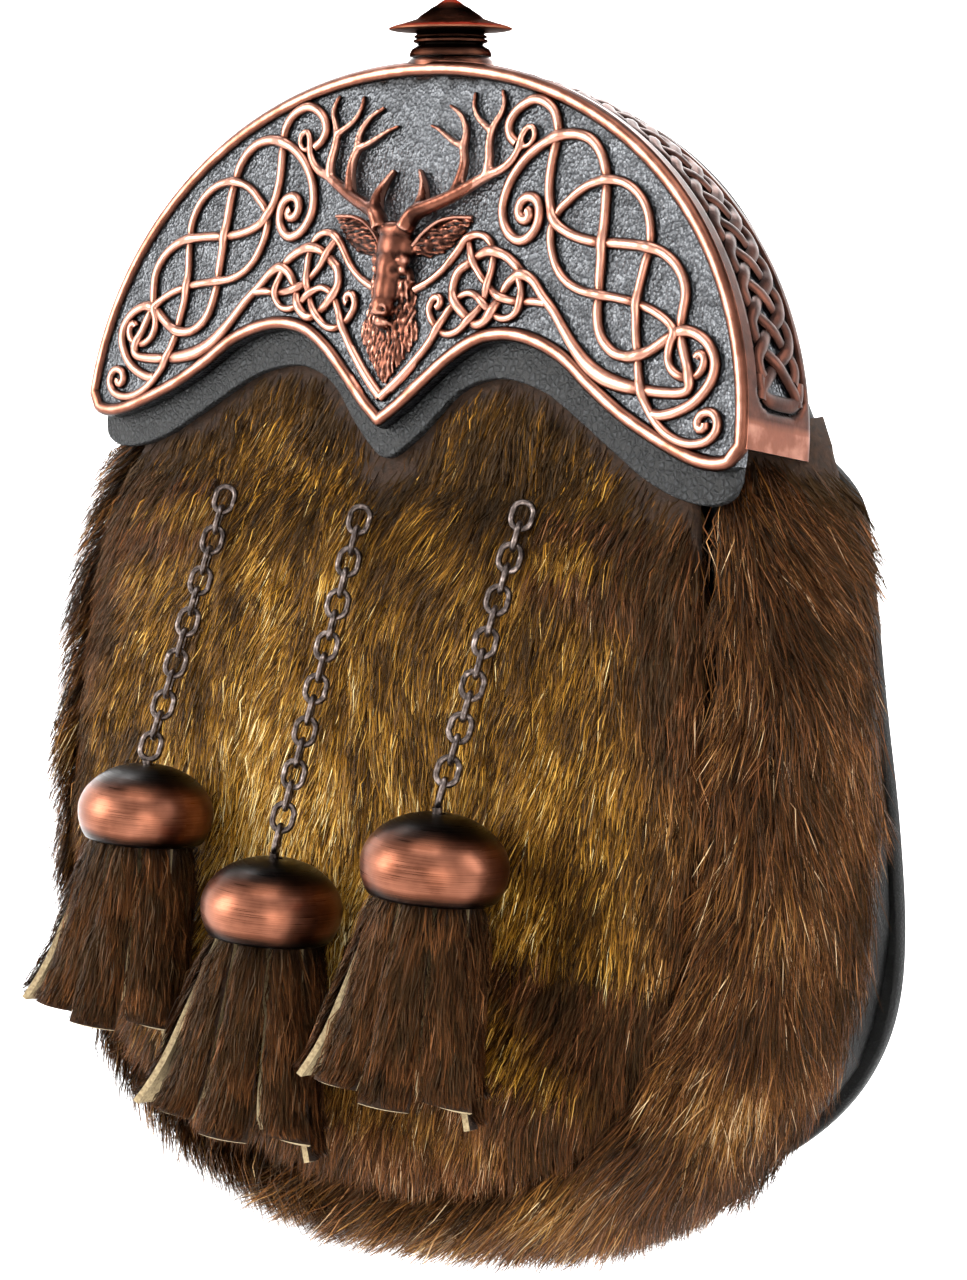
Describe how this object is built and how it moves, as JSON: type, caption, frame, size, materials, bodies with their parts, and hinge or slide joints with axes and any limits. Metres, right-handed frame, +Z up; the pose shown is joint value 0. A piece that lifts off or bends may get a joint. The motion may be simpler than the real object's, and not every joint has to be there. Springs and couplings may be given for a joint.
{
  "type": "sporran pouch",
  "caption": "Dress sporran: fur pouch with a leather back, a cast arched metal cantle with relief, a turned clasp knob, and tassels on chains.",
  "frame": {"origin": "middle of the gap in the strap loop behind the back panel, where the wearer's belt strap runs and the pouch hangs", "axes": "+Z up as worn, +X to the viewer's right, -Y out of the front"},
  "size_m": [0.2068, 0.0901, 0.2358],
  "materials": {
    "antique_copper": "cast, blackened in the recesses and rubbed bright on the ridges",
    "aged_steel": "gunmetal brown",
    "black_leather": "matt, fine grain",
    "golden_fur": "short brindled hair",
    "brown_fur": "long brown hair"
  },
  "bodies": {
    "pouch": {"cantle": "antique_copper", "cantle_flap": "black_leather", "front_panel": "golden_fur", "gusset": "black_leather", "fur_border": "brown_fur", "back_panel": "black_leather", "strap_loop": "black_leather", "chain_left": "aged_steel", "chain_middle": "aged_steel", "chain_right": "aged_steel", "bell_left": "antique_copper", "bell_middle": "antique_copper", "bell_right": "antique_copper", "tassel_left": "brown_fur", "tassel_middle": "brown_fur", "tassel_right": "brown_fur"},
    "knob": {"clasp_knob": "antique_copper"}
  },
  "joints": [
    {"name": "knob_turn", "type": "hinge", "parent": "pouch", "child": "knob", "pos_m": [0, -0.01424, 0.0564], "axis": [0, 0, 1], "range_deg": [0, 90]}
  ]
}
